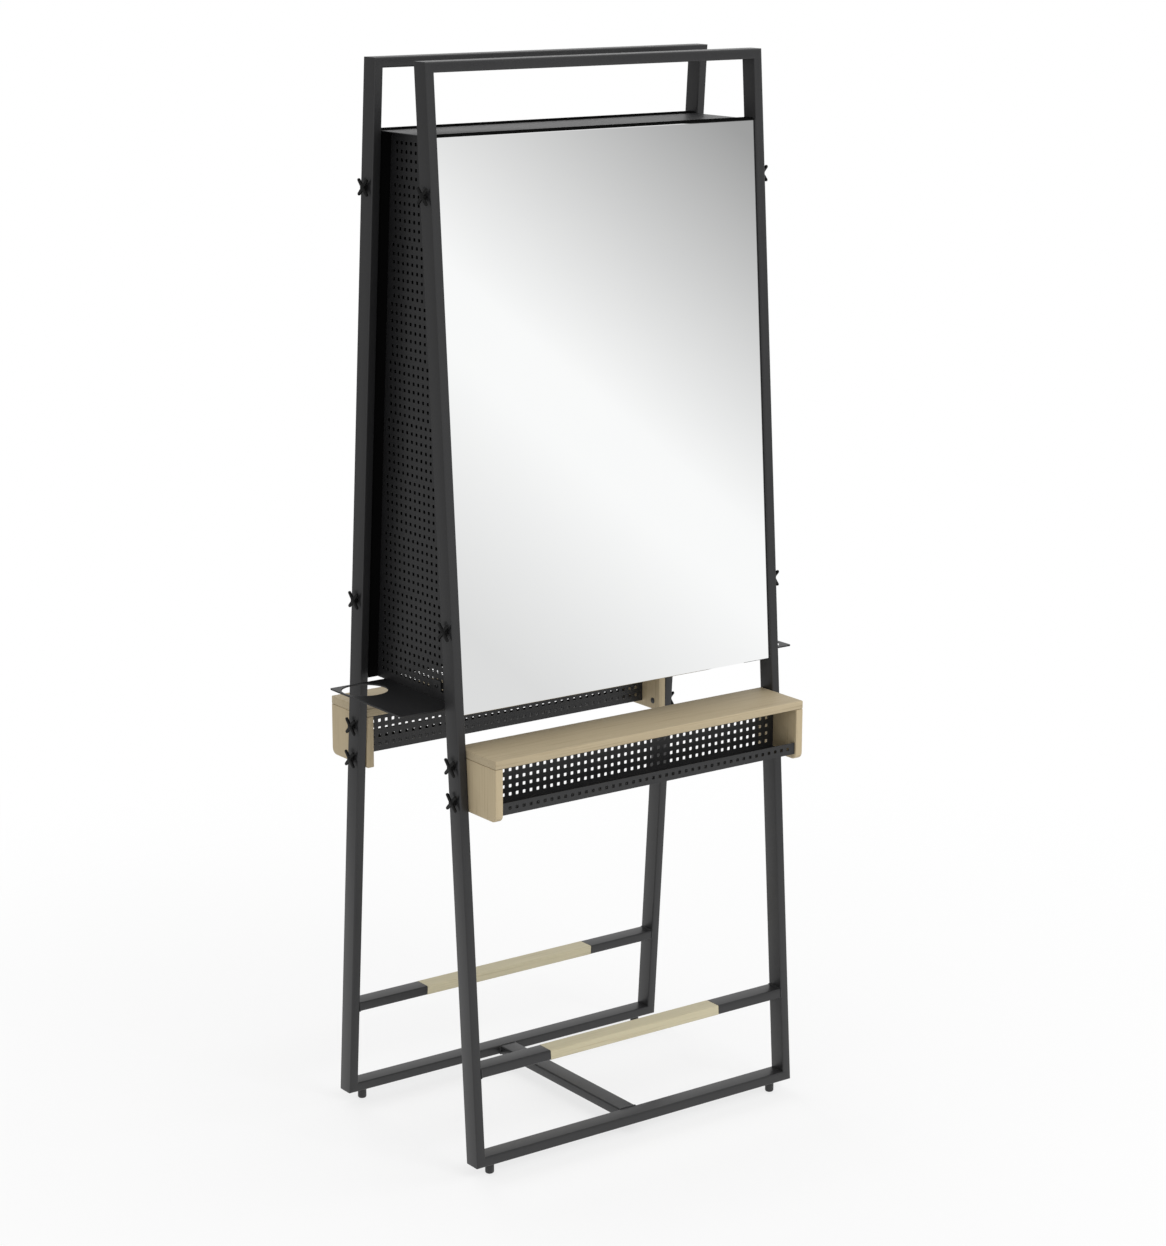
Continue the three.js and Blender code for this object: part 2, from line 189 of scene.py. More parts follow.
def quarter_arc(centre, radius, start, steps=5):
    """Points on a quarter circle about a centre, anticlockwise from a start angle."""
    angle = start + np.linspace(0, math.pi / 2, steps)
    return np.asarray(centre) + radius * np.stack([np.cos(angle), np.sin(angle)], -1)


def rounded_rectangle(width, height, radius, steps=5):
    """Outline of a rectangle from the origin, each corner a quarter circle of the given radius."""
    far, top = width - radius, height - radius
    centres = ((far, top), (radius, top), (radius, radius), (far, radius))
    return np.concatenate([quarter_arc(centre, radius, turn * math.pi / 2, steps)
                           for turn, centre in enumerate(centres)])


def corners(node):
    """The low and high corners of a CAD node's box."""
    return np.array(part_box(node))


both_sides = (("front", 1.0), ("back", -1.0))
tube_depth = 0.040
tube_face = 0.020
tube_corner = 0.0032
leg_low, leg_high = corners("front_leg_right")
floor_gap = round(leg_low[2], 3)
frame_top = round(leg_high[2], 3)
half_width = leg_high[0]
lean = (leg_high[1] - leg_low[1] - tube_depth) / (leg_high[2] - leg_low[2])


def leaned(depth, z):
    """Y of a point a given depth behind the frame's outer face, which leans in as it rises."""
    return leg_low[1] + depth + lean * (z - leg_low[2])


def turned(points, turn):
    """The back side is the front side turned by half a turn about the vertical."""
    return points * np.array([turn, turn, 1.0])


def tube(length, mitre):
    """Rounded rectangle (depth, inset) carried along u; a mitred end recedes as the inset grows."""
    depth, inset = rounded_rectangle(tube_depth, tube_face, tube_corner).T
    cut = inset * mitre
    along = np.stack([cut, np.full_like(cut, length / 2), length - cut])
    return along, np.broadcast_to(depth, along.shape), np.broadcast_to(inset, along.shape)


def leg_points(sign):
    """A tube stood up: u is the height, and the inset runs inwards from the frame's outer width."""
    u, depth, inset = tube(frame_top - floor_gap, 1.0)
    z = floor_gap + u
    return np.stack([sign * (half_width - inset), leaned(depth, z), z], -1)


def rail_points(z_outer, direction):
    """A tube laid across: u runs along x, and the inset runs up or down from the frame's outer edge."""
    u, depth, inset = tube(2 * half_width, 1.0)
    z = z_outer + direction * inset
    return np.stack([u - half_width, leaned(depth, z), z], -1)


def stub_points(node):
    """A square-cut tube laid across, in its CAD node's box."""
    low, high = corners(node)
    u, depth, inset = tube(high[0] - low[0], 0.0)
    z = low[2] + inset
    return np.stack([low[0] + u, leaned(depth, z), z], -1)


def painted(name, rings, turn, node):
    """One powder-coated tube in place of its CAD node."""
    points, faces = hoops(rings)
    put(name, turned(points, turn), faces, charcoal, "frame", [node])


for side, turn in both_sides:
    painted(f"{side}_leg_tube_right", leg_points(1), turn, f"{side}_leg_right")
    painted(f"{side}_leg_tube_left", leg_points(-1), turn, f"{side}_leg_left")
    painted(f"{side}_bottom_tube", rail_points(floor_gap, 1), turn, f"{side}_bottom_rail")
    painted(f"{side}_top_tube", rail_points(frame_top, -1), turn, f"{side}_top_rail")
    for end in ("left", "right"):
        stub = stub_points(f"front_footrest_stub_{end}")
        painted(f"{side}_footrest_tube_{end}", stub, turn, f"{side}_footrest_stub_{end}")

stretcher_low, stretcher_high = corners("base_stretcher")
across, rise = rounded_rectangle(tube_depth, tube_face, tube_corner).T
reach = np.array([[-1.0], [0.0], [1.0]]) * stretcher_high[1]
stretcher = np.stack(np.broadcast_arrays(stretcher_low[0] + across, reach, stretcher_low[2] + rise), -1)
painted("stretcher_tube", stretcher, 1.0, "base_stretcher")

# Weld beads: a small fillet round each stub where it meets its leg and round each stretcher end,
# ground smooth and coated over with the frame.

bead_radius = 0.0016


def closed_round(rings):
    """Quads between neighbouring closed rings of points, with the last ring joined to the first."""
    count, around = rings.shape[:2]
    ring, k = np.meshgrid(np.arange(count) * around, np.arange(around), indexing="ij")
    after = (k + 1) % around
    next_ring = np.roll(ring, -1, 0)
    quads = np.stack([ring + k, ring + after, next_ring + after, next_ring + k], -1)
    return rings.reshape(-1, 3), [quads.reshape(-1, 4)]


def bead(outline):
    """A circle of the bead's radius carried round a closed outline: (outline u, v, distance off the joint).

    At each outline point the circle lies in the plane of the outline's outward normal and the joint's axis.
    """
    ahead = np.roll(outline, -1, 0) - np.roll(outline, 1, 0)
    ahead = ahead / np.linalg.norm(ahead, axis=1, keepdims=True)
    outward = np.stack([ahead[:, 1], -ahead[:, 0]], -1)
    angle = np.arange(8) * math.pi / 4
    spread = (bead_radius * np.cos(angle))[None, :, None] * outward[:, None, :]
    off = np.broadcast_to(bead_radius * np.sin(angle), spread.shape[:2])
    return closed_round(np.concatenate([outline[:, None, :] + spread, off[..., None]], -1))


loops, bead_faces = bead(rounded_rectangle(tube_depth, tube_face, tube_corner))
for side, turn in both_sides:
    for end in ("left", "right"):
        low, high = corners(f"front_footrest_stub_{end}")
        joint_x = low[0] if end == "left" else high[0]
        z = low[2] + loops[:, 1]
        points = np.stack([joint_x + loops[:, 2], leaned(loops[:, 0], z), z], -1)
        put(f"{side}_stub_weld_{end}", turned(points, turn), bead_faces, charcoal, "frame")
    z = stretcher_low[2] + loops[:, 1]
    points = np.stack([stretcher_low[0] + loops[:, 0], leaned(tube_depth, z) + loops[:, 2], z], -1)
    put(f"{side}_stretcher_weld", turned(points, turn), bead_faces, charcoal, "frame")

# Levelling feet: moulded black barrels with a rounded sole, each on a steel stud in the bottom rail.
# The stud screws into the rail, so the barrel comes down when it is turned.


def revolved(profile, around):
    """Revolve: each profile point (radius, height) becomes a ring of points about the vertical."""
    angle = np.arange(around) * 2 * math.pi / around
    radius, height = np.asarray(profile).T[..., None]
    return np.stack(np.broadcast_arrays(radius * np.cos(angle), radius * np.sin(angle), height), -1)


def moulded(name, dark, light, grain, sheen):
    """Black moulded plastic: fine spark-eroded grain with a slight bloom."""
    material, place, shader = new_finish(name)
    bloom = speckle(place, 120.0)
    pits = speckle(place, grain, 4.0)
    place.feed(shader["Base Color"], bloom.tint(dark, light))
    place.feed(shader["Roughness"], 0.42 + bloom * 0.16)
    place.feed(shader["Normal"], bump(place, pits, 0.25, 0.0002))
    shader["Specular IOR Level"].default_value = sheen
    return material


foot_plastic = moulded("foot plastic", paint_colour(38, 38, 39), paint_colour(48, 48, 49), 2500.0, 0.5)
foot_low, foot_high = corners("front_foot_left")
foot_radius = (foot_high[0] - foot_low[0]) / 2
foot_gap = 0.0004
foot_top = floor_gap - foot_gap
sole_round = 0.004
neck_bevel = 0.0005
stud_radius = 0.004
stud_top = foot_high[2] - foot_low[2]
pole = 0.0004
foot_profile = np.concatenate([
    [[pole, 0.0]],
    quarter_arc((foot_radius - sole_round, sole_round), sole_round, -math.pi / 2, 7),
    [[foot_radius, foot_top - neck_bevel], [foot_radius - neck_bevel, foot_top], [stud_radius, foot_top],
     [stud_radius, stud_top], [pole, stud_top]],
])
foot, foot_faces = hoops(revolved(foot_profile, 40))
for side, turn in both_sides:
    for end in ("left", "right"):
        node = f"{side}_foot_{end}"
        low, high = corners(node)
        seat = np.array([*(low + high)[:2] / 2, low[2]])
        put(f"{node}_barrel", foot + seat, foot_faces, foot_plastic, node, [node], sharp=30.0)

# Footrest bars: solid oak, the same section as the tube, with eased edges and a clear matt lacquer.
# Their tenons sit inside the stubs, so only the middle length shows.


def inset_outline(outline, amount):
    """Moves a closed outline inwards: each corner goes along the bisector of its two sides."""
    ahead = np.roll(outline, -1, 0) - outline
    ahead = ahead / np.linalg.norm(ahead, axis=1, keepdims=True)
    both = ahead + np.roll(ahead, 1, 0)
    inward = np.stack([-both[:, 1], both[:, 0]], -1)
    return outline + 2 * amount * inward / np.sum(inward ** 2, axis=1, keepdims=True)


def eased_prism(outline, start, end, ease, steps=4):
    """An outline carried from start to end, both ends drawn in along a quarter circle of radius ease."""
    angle = np.linspace(0, math.pi / 2, steps)
    rings = [inset_outline(outline, ease * (1 - math.sin(t))) for t in angle]
    away = ease * (1 - np.cos(angle))
    section = np.stack(rings + rings[::-1])
    along = np.concatenate([start + away, (end - away)[::-1]])
    return section, np.broadcast_to(along[:, None], section.shape[:2])


def oak(name, axis, pale, mid, dark):
    """Oak: growth bands stretched along one axis, short dark pores, broad tone clouds, matt lacquer."""
    material, place, shader = new_finish(name)
    stretch = [14.0, 14.0, 14.0]
    stretch[axis] = 0.9
    fine = [420.0, 420.0, 420.0]
    fine[axis] = 6.0
    grain = place.node("ShaderNodeMapping", None, {"Vector": place, "Scale": stretch})
    streak = place.node("ShaderNodeMapping", None, {"Vector": place, "Scale": fine})
    bands = speckle(grain, 1.6, 6.0, 0.62)
    wander = speckle(grain, 5.0)
    pores = speckle(streak, 1.0, 2.0, 0.5)
    pore_mask = pores.node("ShaderNodeMapRange", None, {"Value": pores, "From Min": 0.56, "From Max": 0.68})
    toned = (wander * 0.55).tint((bands * 1.5 - 0.25).tint(mid, pale), mid)
    place.feed(shader["Base Color"], (pore_mask * 0.4).tint(toned, dark))
    place.feed(shader["Roughness"], 0.5 + bands * 0.12)
    place.feed(shader["Normal"], bump(place, 1 - pore_mask, 0.2, 0.0003))
    shader["Specular IOR Level"].default_value = 0.35
    return material


bar_oak = oak("footrest oak", 0, paint_colour(206, 198, 170), paint_colour(186, 177, 148),
              paint_colour(158, 145, 114))
stub_low, stub_high = corners("front_footrest_stub_left")
bar_gap = 0.0003
bar_end = -stub_high[0] - bar_gap
bar_edge = 0.0022
bar_ease = 0.0008
bar_outline = rounded_rectangle(tube_depth, tube_face, bar_edge)
section, along = eased_prism(bar_outline, -bar_end, bar_end, bar_ease)
z = stub_low[2] + section[..., 1]
bar, bar_faces = hoops(np.stack([along, leaned(section[..., 0], z), z], -1))
for side, turn in both_sides:
    put(f"{side}_footrest_wood", turned(bar, turn), bar_faces, bar_oak, "frame",
        [f"{side}_footrest_bar"])

# Mirrors: silvered glass with a ground edge, set a few millimetres behind the legs' front faces.
# Each is stuck to a matt black board whose edges take the knobs' studs.


def silvered(name):
    """Silvered glass: a near-perfect mirror with the slightest dulling in broad patches."""
    material, place, shader = new_finish(name)
    haze = speckle(place, 3.0)
    place.feed(shader["Base Color"], haze.tint((0.93, 0.94, 0.94, 1), (0.96, 0.965, 0.962, 1)))
    place.feed(shader["Roughness"], haze * 0.02)
    shader["Metallic"].default_value = 1.0
    return material


def board_paint(name, dark, light):
    """Matt black on board: a fibrous skin without a mirror-like sheen, so it stays dark at a low angle."""
    material, place, shader = new_finish(name)
    fibres = speckle(place, 700.0, 4.0)
    place.feed(shader["Base Color"], fibres.tint(dark, light))
    place.feed(shader["Normal"], bump(place, fibres, 0.4, 0.0004))
    shader["Roughness"].default_value = 1.0
    shader["IOR"].default_value = 1.0
    return material


mirror_silver = silvered("mirror silver")
backing_black = board_paint("backing board", paint_colour(10, 10, 10), paint_colour(20, 20, 20))
glass_low, glass_high = corners("front_mirror")
glass_depth = glass_low[1] - leaned(0.0, glass_low[2])
glass_thick = 0.005
glass_arris = 0.0012
glass_corner = 0.002
glass_outline = rounded_rectangle(*(glass_high - glass_low)[[0, 2]], glass_corner, 3)
section, along = eased_prism(glass_outline, glass_depth, glass_depth + glass_thick, glass_arris, 2)
z = glass_low[2] + section[..., 1]
glass, glass_faces = hoops(np.stack([glass_low[0] + section[..., 0], leaned(along, z), z], -1))
for side, turn in both_sides:
    put(f"{side}_mirror_glass", turned(glass, turn), glass_faces, mirror_silver, "frame",
        [f"{side}_mirror"], sharp=20.0)
    frame["nodes"][f"{side}_mirror_backing"].material_slots[0].material = backing_black

# Box between the mirrors: perforated sheet on the left, right and bottom and a plain cap on top.
# The sheet is punched on a square grid with rounded square holes, then powder coated.

sheet_coat = powder_coat("sheet powder coat", paint_colour(31, 31, 32), paint_colour(39, 39, 40), 0.4)
hole_pitch = 0.0164
hole_size = 0.0069
hole_flat = 0.7
sheet_thick = 0.0015


def punched(centres, plain, hole=hole_size):
    """Square cells about their centres, each with an eight-point hole, and plain quads (u, v).

    A cell's corners lie at half a pitch; the hole's points lie at hole/2 along u or v and at
    hole_flat of that along the other. Points are (u, v, t) with t = +-1 on the two skins.
    """
    half = hole_pitch / 2
    r, s = hole / 2, hole / 2 * hole_flat
    cell = np.array([[-half, -half], [half, -half], [half, half], [-half, half],
                     [-s, -r], [s, -r], [r, -s], [r, s], [s, r], [-s, r], [-r, s], [-r, -s]])
    size = len(cell)
    step = (np.arange(len(centres)) * size)[:, None, None]
    i = np.arange(4)
    k = np.arange(8)
    sides = np.stack([i, (i + 1) % 4, 5 + 2 * i, 4 + 2 * i], -1)
    wedges = np.stack([i, 4 + 2 * i, 4 + (2 * i - 1) % 8], -1)
    edges = np.stack([4 + (k + 1) % 8, 4 + k], -1)
    plain = np.asarray(plain).reshape(-1, 2)
    flat = np.concatenate([(centres[:, None, :] + cell).reshape(-1, 2), plain])
    total = len(flat)
    bands = total - len(plain) + np.arange(len(plain)).reshape(-1, 4)
    quads = np.concatenate([(sides + step).reshape(-1, 4), bands])
    wedges = (wedges + step).reshape(-1, 3)
    edges = (edges + step).reshape(-1, 2)
    walls = np.concatenate([edges, edges[:, ::-1] + total], 1)
    skins = np.concatenate([np.insert(flat, 2, 1.0, axis=1), np.insert(flat, 2, -1.0, axis=1)])
    return skins, [quads, wedges, quads[:, ::-1] + total, wedges[:, ::-1] + total, walls]


def joined(parts):
    """Several (points, blocks of faces) pairs as one."""
    starts = np.cumsum([0] + [len(points) for points, _ in parts])
    faces = [block + start for start, (_, some) in zip(starts, parts) for block in some]
    return np.concatenate([points for points, _ in parts]), faces


def rim(outline):
    """Quads that close a sheet's outer edge: the outline's sides carried from t = 1 to t = -1."""
    count = len(outline)
    k = np.arange(count)
    after = (k + 1) % count
    points = np.concatenate([np.insert(outline, 2, 1.0, axis=1), np.insert(outline, 2, -1.0, axis=1)])
    return points, [np.stack([after, k, k + count, after + count], -1)]


panel_low, panel_high = corners("side_panel_left")
panel_margin = 0.008


def panel_half(z):
    """Half the panel's depth at a height: it narrows as the frames close in."""
    return panel_high[1] - lean * (z - panel_low[2])


def trapezoids(low, high, inner_low, inner_high):
    """Quads between two heights, from an inner depth at each height out to the panel's edge."""
    return np.stack([np.stack([inner_low, low], -1), np.stack([panel_half(low), low], -1),
                     np.stack([panel_half(high), high], -1), np.stack([inner_high, high], -1)], -2)


rows = int((panel_high[2] - panel_low[2] - 2 * panel_margin) / hole_pitch)
row_low = (panel_low[2] + panel_high[2] - rows * hole_pitch) / 2 + np.arange(rows) * hole_pitch
row_high = row_low + hole_pitch
row_count = np.floor((panel_half(row_high) - panel_margin) * 2 / hole_pitch).astype(int)
from_middle = np.concatenate([np.arange(n) - (n - 1) / 2 for n in row_count])
cells = np.stack([from_middle * hole_pitch, np.repeat(row_low + hole_pitch / 2, row_count)], -1)
row_half = row_count * hole_pitch / 2
right_bands = trapezoids(row_low, row_high, row_half, row_half)
left_bands = (right_bands * np.array([-1.0, 1.0]))[:, ::-1]
band_low = np.array([panel_low[2], row_high[-1], panel_low[2]])
band_high = np.array([row_low[0], panel_high[2], panel_high[2]])
foot_band, head_band, panel_edge = trapezoids(band_low, band_high, -panel_half(band_low),
                                              -panel_half(band_high))
plain = np.concatenate([right_bands, left_bands, [foot_band, head_band]])
sheet_points, sheet_faces = joined([punched(cells, plain), rim(panel_edge)])
for name in ("left", "right"):
    low, high = corners(f"side_panel_{name}")
    x = (low[0] + high[0]) / 2 + sheet_points[:, 2] * sheet_thick / 2
    points = np.stack([x, sheet_points[:, 0], sheet_points[:, 1]], -1)
    put(f"side_sheet_{name}", points, sheet_faces, sheet_coat, "frame",
        [f"side_panel_{name}"], outward=False)


def rectangles(low_u, low_v, high_u, high_v):
    """Quads, anticlockwise, between low and high corners."""
    return np.stack([np.stack([low_u, low_v], -1), np.stack([high_u, low_v], -1),
                     np.stack([high_u, high_v], -1), np.stack([low_u, high_v], -1)], -2)


def grid_sheet(low, high, margin, hole=hole_size):
    """A rectangle punched on the square grid, with plain bands round it at least a margin wide."""
    count = np.floor((high - low - 2 * margin) / hole_pitch).astype(int)
    first = (low + high - count * hole_pitch) / 2
    last = first + count * hole_pitch
    u, v = np.meshgrid(first[0] + (np.arange(count[0]) + 0.5) * hole_pitch,
                       first[1] + (np.arange(count[1]) + 0.5) * hole_pitch)
    plain = rectangles(np.array([low[0], low[0], low[0], last[0]]),
                       np.array([low[1], last[1], first[1], first[1]]),
                       np.array([high[0], high[0], first[0], high[0]]),
                       np.array([first[1], high[1], last[1], last[1]]))
    centres = np.stack([u.ravel(), v.ravel()], -1)
    return joined([punched(centres, plain, hole), rim(rectangles(*low, *high))])


plate_low, plate_high = corners("box_bottom_plate")
plate_hole = 0.0120
plate_thick = 0.0008
points, faces = grid_sheet(plate_low[:2], plate_high[:2], panel_margin, plate_hole)
points[:, 2] = (plate_low[2] + plate_high[2]) / 2 + points[:, 2] * plate_thick / 2
put("bottom_sheet", points, faces, sheet_coat, "frame", ["box_bottom_plate"], outward=False)

cap_low, cap_high = corners("box_cap")
cap_corner = 0.002
cap_ease = 0.0004
cap_outline = cap_low[:2] + rounded_rectangle(*(cap_high - cap_low)[:2], cap_corner, 3)
section, along = eased_prism(cap_outline, cap_low[2], cap_high[2], cap_ease, 3)
points, faces = hoops(np.concatenate([section, along[..., None]], -1))
put("cap_sheet", points, faces, sheet_coat, "frame", ["box_cap"])

# Shelves: oak-veneered boards, a top between two cheeks whose lower front corners are rounded,
# glued and dowelled. Each fits between the legs and is held by the two knobs on each leg.

board_oak = oak("shelf oak along", 0, paint_colour(190, 176, 147), paint_colour(172, 157, 128),
                paint_colour(140, 122, 94))
cheek_oak = oak("shelf oak cheek", 2, paint_colour(198, 182, 150), paint_colour(181, 165, 134),
                paint_colour(150, 132, 102))
board_ease = 0.002
top_low, top_high = corners("front_shelf_top")
cheek_low, cheek_high = corners("front_shelf_cheek_right")
cheek_corner = 0.014
cheek_outline = np.concatenate([
    quarter_arc(cheek_low[1:] + cheek_corner, cheek_corner, math.pi, 9),
    [[cheek_high[1], cheek_low[2]], cheek_high[1:], [cheek_low[1], cheek_high[2]]],
])
board_outline = top_low[1:] + rounded_rectangle(*(top_high - top_low)[1:], board_ease, 4)
section, along = eased_prism(board_outline, top_low[0], top_high[0], board_ease)
board, board_faces = hoops(np.concatenate([along[..., None], section], -1))
for side, turn in both_sides:
    put(f"{side}_shelf_board", turned(board, turn), board_faces, board_oak, "frame",
        [f"{side}_shelf_top"])
    for name in ("left", "right"):
        low, high = corners(f"front_shelf_cheek_{name}")
        section, along = eased_prism(cheek_outline, low[0], high[0], board_ease)
        points, faces = hoops(np.concatenate([along[..., None], section], -1))
        put(f"{side}_shelf_side_{name}", turned(points, turn), faces, cheek_oak, "frame",
            [f"{side}_shelf_cheek_{name}"])

# Threaded inserts: blackened steel collars pressed into the cheeks, which take the knobs' studs.
# Only their flanges and the stud ends show, on the cheeks' inner faces.


def blackened(name):
    """Blackened steel: a dark metal with a thin oil sheen that dulls in spots."""
    material, place, shader = new_finish(name)
    dull = speckle(place, 180.0, 4.0)
    place.feed(shader["Base Color"], dull.tint((0.05, 0.05, 0.052, 1), (0.11, 0.11, 0.112, 1)))
    place.feed(shader["Roughness"], 0.34 + dull * 0.2)
    shader["Metallic"].default_value = 1.0
    return material


dark_steel = blackened("blackened steel")
flange_radius = 0.0065
flange_rise = 0.0008
flange_bevel = 0.0005
insert_bore = 0.0046
stud_end = 0.0042
stud_dome = 0.0014
sunk = 0.0006
collar_profile = [[pole, -sunk], [flange_radius, -sunk], [flange_radius, flange_rise - flange_bevel],
                  [flange_radius - flange_bevel, flange_rise], [insert_bore, flange_rise], [stud_end, 0.0],
                  [stud_radius, flange_rise], [pole, stud_dome]]
collar, collar_faces = hoops(revolved(collar_profile, 24))
for joint in frame["joints"]:
    if joint["type"] == "hinge" and "shelf" in joint["child"]:
        out = joint["axis"][0]
        x = out * (cheek_low[0] - collar[:, 2])
        points = np.stack([x, joint["pos_m"][1] + collar[:, 0], joint["pos_m"][2] + collar[:, 1]], -1)
        put(f"{joint['child']}_insert", points, collar_faces, dark_steel, "frame")

# Shelf trays: one punched steel sheet, folded into a back wall, a floor and a low front lip,
# hung between the cheeks and powder coated like the box.

tray_low, tray_high = corners("front_shelf_tray")
lip_height = 0.024
wall_margin = 0.005
lip_margin = 0.002


def tray_part(height, margin):
    """An upright part of the tray, punched, in x and z from the floor's top to a height."""
    low = np.array([tray_low[0], tray_low[2] + sheet_thick])
    return grid_sheet(low, np.array([tray_high[0], height]), margin)


def standing(part, y):
    """A flat part stood up in a plane of constant y, its first skin facing -y."""
    points, faces = part
    return np.stack([points[:, 0], y - points[:, 2] * sheet_thick / 2, points[:, 1]], -1), faces


wall = standing(tray_part(tray_high[2], wall_margin), tray_high[1] - sheet_thick / 2)
lip = standing(tray_part(tray_low[2] + lip_height, lip_margin), tray_low[1] + sheet_thick / 2)
no_holes = np.empty((0, 2))
base_edge = rectangles(*tray_low[:2], *tray_high[:2])
base, base_faces = joined([punched(no_holes, base_edge), rim(base_edge)])
base[:, 2] = tray_low[2] + (1 + base[:, 2]) * sheet_thick / 2
tray, tray_faces = joined([wall, lip, (base, base_faces)])
for side, turn in both_sides:
    put(f"{side}_tray_sheet", turned(tray, turn), tray_faces, sheet_coat, "frame",
        [f"{side}_shelf_tray"], outward=False)

# Dryer holders: a laser-cut steel plate with a ring for the dryer's nozzle, folded up into a flange and
# a tab that are screwed to the box's side panel. Powder coated like the box.

holder_low, holder_high = corners("front_dryer_holder")
holder_sheet = 0.003
holder_corner = 0.003
ring_radius = 0.046
ring_rim = 0.004
cut_ease = 0.0004
ring_centre = np.array([holder_low[0], holder_high[1]]) + np.array([1, -1]) * (ring_radius + ring_rim)


def plate_outline(low, high, corner, fine=24):
    """Plate's outer edge: square at the panel (+x), quarter circles at its two free corners (-x).

    Each straight side is cut into short steps, so that the edge can be joined to the ring by bearing.
    """
    stops = np.concatenate([
        [[high[0], low[1]], high],
        quarter_arc((low[0] + corner, high[1] - corner), corner, math.pi / 2, 9),
        quarter_arc(low + corner, corner, math.pi, 9),
    ])
    ahead = np.roll(stops, -1, 0) - stops
    share = np.arange(fine)[None, :, None] / fine
    return (stops[:, None] + ahead[:, None] * share).reshape(-1, 2)


plate_far = plate_outline(holder_low[:2], holder_high[:2], holder_corner)
away = plate_far - ring_centre
away = away / np.linalg.norm(away, axis=1, keepdims=True)
plate_near = ring_centre + ring_radius * away
low_z, high_z = holder_low[2], holder_low[2] + holder_sheet
plate_eased = plate_near + away * cut_ease
plate_loops = [(plate_eased, high_z), (plate_far, high_z), (plate_far, low_z), (plate_eased, low_z),
               (plate_near, low_z + cut_ease), (plate_near, high_z - cut_ease)]
plate, plate_faces = closed_round(np.stack([np.insert(flat, 2, z, axis=1) for flat, z in plate_loops]))
flange_length = 0.086
flange_height = 0.020
tab_length = 0.030
tab_corner = 0.004
tab_height = holder_high[2] - holder_low[2]
upright_outline = holder_low[1:] + np.concatenate([
    [[0.0, 0.0], [flange_length, 0.0]],
    quarter_arc((flange_length - tab_corner, tab_height - tab_corner), tab_corner, 0.0),
    quarter_arc((flange_length - tab_length + tab_corner, tab_height - tab_corner), tab_corner, math.pi / 2),
    [[flange_length - tab_length, flange_height], [0.0, flange_height]],
])
section, along = eased_prism(upright_outline, holder_high[0] - holder_sheet, holder_high[0], cut_ease, 3)
upright, upright_faces = hoops(np.concatenate([along[..., None], section], -1))
head_radius = 0.0042
head_rise = 0.0023
head_round = 0.0015
socket_radius = 0.0020
socket_floor = 0.0010
screw_profile = np.concatenate([
    [[pole, -sunk], [head_radius, -sunk]],
    quarter_arc((head_radius - head_round, head_rise - head_round), head_round, 0.0),
    [[socket_radius, head_rise], [socket_radius, socket_floor], [pole, socket_floor]],
])
screw, screw_faces = hoops(revolved(screw_profile, 20))
screw_x = holder_high[0] - holder_sheet - screw[:, 2]
screw_from_end = 0.014
screw_height = 0.012
tab_screw_height = 0.029
screw_places = ((screw_from_end, screw_height), (flange_length - tab_length / 2, tab_screw_height))
for side, turn in both_sides:
    put(f"{side}_holder_plate", turned(plate, turn), plate_faces, sheet_coat, "frame",
        [f"{side}_dryer_holder"])
    put(f"{side}_holder_upstand", turned(upright, turn), upright_faces, sheet_coat, "frame")
    for number, (y, z) in enumerate(screw_places):
        points = np.stack([screw_x, holder_low[1] + y + screw[:, 0], holder_low[2] + z + screw[:, 1]], -1)
        put(f"{side}_holder_screw_{number}", turned(points, turn), screw_faces, dark_steel, "frame")

# Hand knobs: black moulded crosses with four rounded arms and a boss, on steel studs.
# They pass through the legs and clamp the mirror backings and the shelf cheeks.

knob_plastic = moulded("knob plastic", paint_colour(10, 10, 10), paint_colour(18, 18, 18), 2000.0, 0.2)
knob_span = 0.044
arm_half = 0.0032
arm_root = 0.0040
knob_low = 0.0050
knob_high = 0.0096
knob_ease = 0.0012
boss_low = 0.0004
boss_radius = 0.006
boss_bevel = 0.0006
boss_top = 0.0106
boss_round = 0.0016
boss_crown = 0.0003
tip_centre = (knob_span / 2 - arm_half, 0.0)
arm = np.concatenate([[[arm_root, -arm_half]], quarter_arc(tip_centre, arm_half, -math.pi / 2),
                      quarter_arc(tip_centre, arm_half, 0.0)[1:]])
heading = (np.arange(4) + 0.5) * math.pi / 2
spin = np.array([[np.cos(heading), np.sin(heading)], [-np.sin(heading), np.cos(heading)]])
cross_outline = np.einsum("pk,kcq->qpc", arm, spin).reshape(-1, 2)
section, along = eased_prism(cross_outline, knob_low, knob_high, knob_ease)
cross = hoops(np.concatenate([section, along[..., None]], -1))
boss_profile = np.concatenate([
    [[pole, boss_low], [boss_radius - boss_bevel, boss_low], [boss_radius, boss_low + boss_bevel]],
    quarter_arc((boss_radius - boss_round, boss_top - boss_round), boss_round, 0.0),
    [[pole, boss_top + boss_crown]],
])
knob, knob_faces = joined([cross, hoops(revolved(boss_profile, 32))])
for joint in frame["joints"]:
    if joint["type"] == "hinge":
        node = joint["child"]
        out = joint["axis"][0]
        points = np.stack([out * knob[:, 2], out * knob[:, 0], knob[:, 1]], -1) + np.array(joint["pos_m"])
        put(f"{node}_cross", points, knob_faces, knob_plastic, node, [node])

# Studio: a plain pale floor that fades into a white world, and soft lamps. The camera stands where
# the photograph's did: front left, a little above the station, with a long lens.

floor_half = 3.2
floor_mesh = bpy.data.meshes.new("floor")
floor_square = rectangles(-floor_half, -floor_half, floor_half, floor_half)
floor_mesh.from_pydata(np.insert(floor_square, 2, 0.0, axis=1).tolist(), [], [(0, 1, 2, 3)])
floor = bpy.data.objects.new("floor", floor_mesh)
bpy.context.scene.collection.objects.link(floor)


